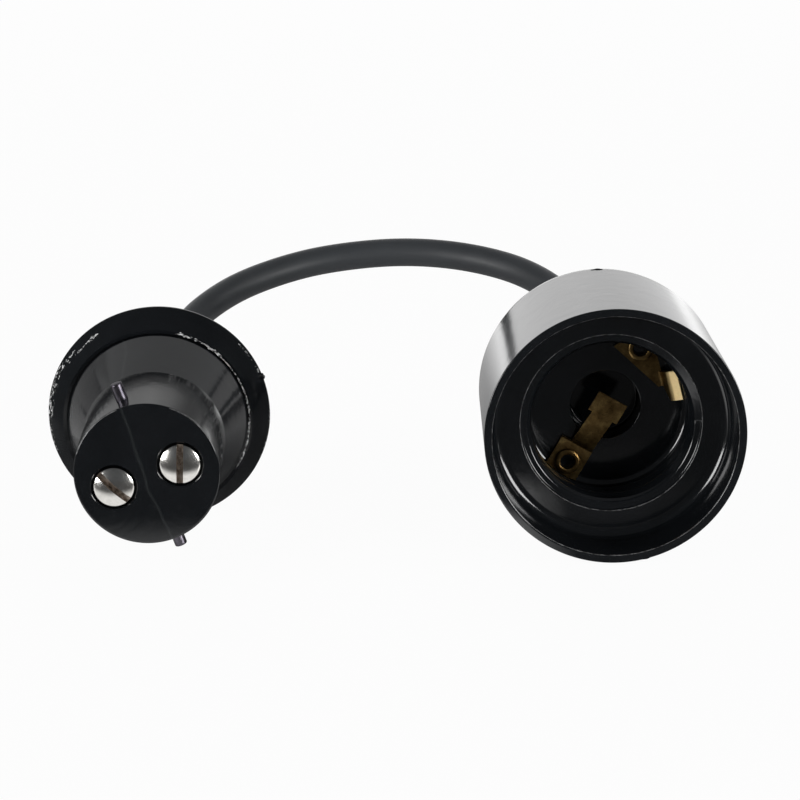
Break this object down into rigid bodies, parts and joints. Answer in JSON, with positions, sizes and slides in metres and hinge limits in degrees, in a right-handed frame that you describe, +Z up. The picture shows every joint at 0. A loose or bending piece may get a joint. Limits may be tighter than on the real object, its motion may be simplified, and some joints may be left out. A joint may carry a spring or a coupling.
{
  "type": "lamp holder adapter",
  "caption": "Lamp holder adapter: a bayonet cap plug joined by a short stiff cord to a shrouded screw lamp holder with sprung brass contacts",
  "frame": {"origin": "on the table, below the middle of the box round the plug and the lamp holder, without the cord", "axes": "+X from the plug to the lamp holder, +Y from the mouths to the cord, +Z up; the plug's face and the holder's rim face -Y"},
  "size_m": [0.1086, 0.0949, 0.0401],
  "materials": {
    "black_phenolic": "glossy black moulded phenolic with faint flow lines and flash",
    "pin_steel": "dull grey plated steel",
    "nickel": "bright nickel plate",
    "brass": "rolled brass strip, slightly tarnished",
    "core_brown": "brown core insulation",
    "core_blue": "blue core insulation",
    "cord_sheath": "dark grey flexible sheath with a soft sheen"
  },
  "bodies": {
    "root": {"plug_body": "black_phenolic", "plug_cover": "black_phenolic", "bayonet_pin_upper": "pin_steel", "bayonet_pin_lower": "pin_steel", "contact_screw_left": "nickel", "contact_screw_right": "nickel", "contact_bush_left": "brass", "contact_bush_right": "brass", "plug_core_brown": "core_brown", "plug_core_blue": "core_blue", "plug_grip_half_left": "black_phenolic", "plug_grip_half_right": "black_phenolic", "cord": "cord_sheath", "holder_body": "black_phenolic", "holder_cap": "black_phenolic", "centre_eyelet": "brass", "side_eyelet": "brass", "centre_terminal": "brass", "side_terminal": "brass", "centre_terminal_screw": "nickel", "side_terminal_screw": "nickel", "holder_core_brown": "core_brown", "holder_core_blue": "core_blue", "cord_clamp": "black_phenolic", "cord_clamp_screw_left": "nickel", "cord_clamp_screw_right": "nickel"},
    "centre_leaf": {"centre_contact": "brass"},
    "side_leaf": {"side_contact": "brass"}
  },
  "joints": [
    {"name": "centre_contact_flex", "type": "hinge", "parent": "root", "child": "centre_leaf", "pos_m": [0.02825, -0.00058, 0.01108], "axis": [-0.866, 0, 0.5], "range_deg": [0, 3.5], "stiffness_Nm_per_rad": 0.4},
    {"name": "side_contact_flex", "type": "hinge", "parent": "root", "child": "side_leaf", "pos_m": [0.03969, -0.00058, 0.02938], "axis": [0.68, 0, 0.7332], "range_deg": [0, 1.8], "stiffness_Nm_per_rad": 0.6}
  ]
}
